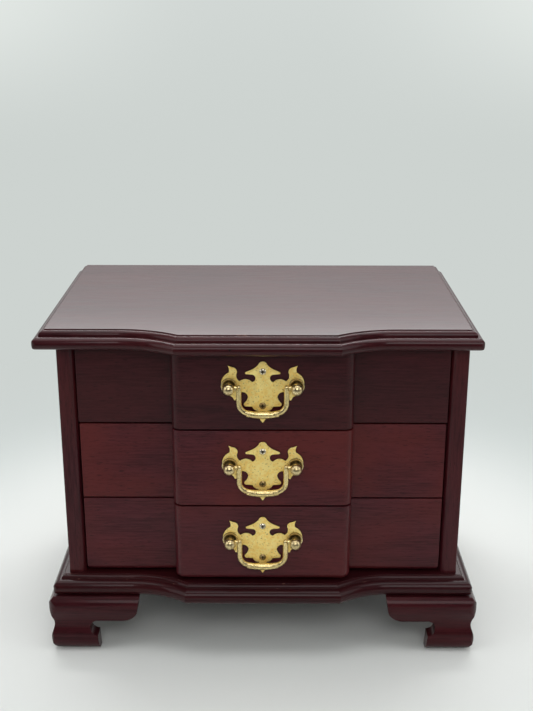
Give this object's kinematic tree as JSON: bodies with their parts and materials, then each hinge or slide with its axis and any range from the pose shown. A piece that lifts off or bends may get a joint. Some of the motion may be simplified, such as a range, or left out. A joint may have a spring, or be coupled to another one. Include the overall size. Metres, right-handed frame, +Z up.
{
  "type": "jewellery chest with mirror",
  "caption": "Small block-front wooden chest on ogee bracket feet, with a mirror in the hinged lid, a lined well, drawers and pierced brass drop pulls.",
  "frame": {"origin": "on the floor, under the middle of the whole chest", "axes": "+X to the right of someone facing the drawers, +Y to the back, +Z up"},
  "size_m": [0.3124, 0.2084, 0.2454],
  "materials": {
    "mahogany": "satin lacquer",
    "drawer_wood": "thin stain",
    "lining_felt": "felt",
    "roll_velvet": "velvet",
    "bumper_felt": "felt",
    "brass": "aged, lacquered",
    "plated_screw": "brass plated",
    "mirror": "silvered"
  },
  "bodies": {
    "case": {"side_panel_left": "mahogany", "side_panel_right": "mahogany", "back_panel": "mahogany", "base_board": "mahogany", "well_floor": "mahogany", "drawer_shelf": "mahogany", "well_front_board": "mahogany", "false_front_panel": "mahogany", "false_front_block": "mahogany", "well_liner": "lining_felt", "well_divider_long": "roll_velvet", "well_dividers_cross": "roll_velvet", "ring_roll_pad": "roll_velvet", "front_left_foot_face": "mahogany", "front_left_foot_return": "mahogany", "front_right_foot_face": "mahogany", "front_right_foot_return": "mahogany", "rear_left_foot_side": "mahogany", "rear_left_foot_back": "mahogany", "rear_right_foot_side": "mahogany", "rear_right_foot_back": "mahogany", "foot_glue_blocks": "drawer_wood", "hinge_case_leaves": "brass", "hinge_pins": "brass", "hinge_case_screws": "brass", "top_pull_plate": "brass", "top_pull_posts": "brass", "top_pull_screws": "plated_screw"},
    "lid": {"lid_board": "mahogany", "mirror_glass": "mirror", "mirror_frame": "mahogany", "lid_bumpers": "bumper_felt", "hinge_lid_leaves": "brass", "hinge_lid_screws": "brass"},
    "middle_drawer": {"middle_drawer_front_panel": "mahogany", "middle_drawer_front_block": "mahogany", "middle_drawer_side_left": "drawer_wood", "middle_drawer_side_right": "drawer_wood", "middle_drawer_back": "drawer_wood", "middle_drawer_bottom": "drawer_wood", "middle_drawer_liner": "lining_felt", "middle_pull_plate": "brass", "middle_pull_posts": "brass", "middle_pull_screws": "plated_screw"},
    "bottom_drawer": {"bottom_drawer_front_panel": "mahogany", "bottom_drawer_front_block": "mahogany", "bottom_drawer_side_left": "drawer_wood", "bottom_drawer_side_right": "drawer_wood", "bottom_drawer_back": "drawer_wood", "bottom_drawer_bottom": "drawer_wood", "bottom_drawer_liner": "lining_felt", "bottom_pull_plate": "brass", "bottom_pull_posts": "brass", "bottom_pull_screws": "plated_screw"},
    "top_bail": {"top_pull_bail": "brass"},
    "middle_bail": {"middle_pull_bail": "brass"},
    "bottom_bail": {"bottom_pull_bail": "brass"}
  },
  "joints": [
    {"name": "lid_hinge", "type": "hinge", "parent": "case", "child": "lid", "pos_m": [0, 0.1023, 0.2316], "axis": [-1, 0, 0], "range_deg": [0, 95]},
    {"name": "middle_drawer_slide", "type": "slide", "parent": "case", "child": "middle_drawer", "axis": [0, -1, 0], "range_m": [0, 0.12]},
    {"name": "bottom_drawer_slide", "type": "slide", "parent": "case", "child": "bottom_drawer", "axis": [0, -1, 0], "range_m": [0, 0.12]},
    {"name": "top_bail_swing", "type": "hinge", "parent": "case", "child": "top_bail", "pos_m": [0, -0.0966, 0.20895], "axis": [-1, 0, 0], "range_deg": [-3, 170]},
    {"name": "middle_bail_swing", "type": "hinge", "parent": "middle_drawer", "child": "middle_bail", "pos_m": [0, -0.0966, 0.15055], "axis": [-1, 0, 0], "range_deg": [-3, 170]},
    {"name": "bottom_bail_swing", "type": "hinge", "parent": "bottom_drawer", "child": "bottom_bail", "pos_m": [0, -0.0966, 0.09335], "axis": [-1, 0, 0], "range_deg": [-3, 170]}
  ]
}
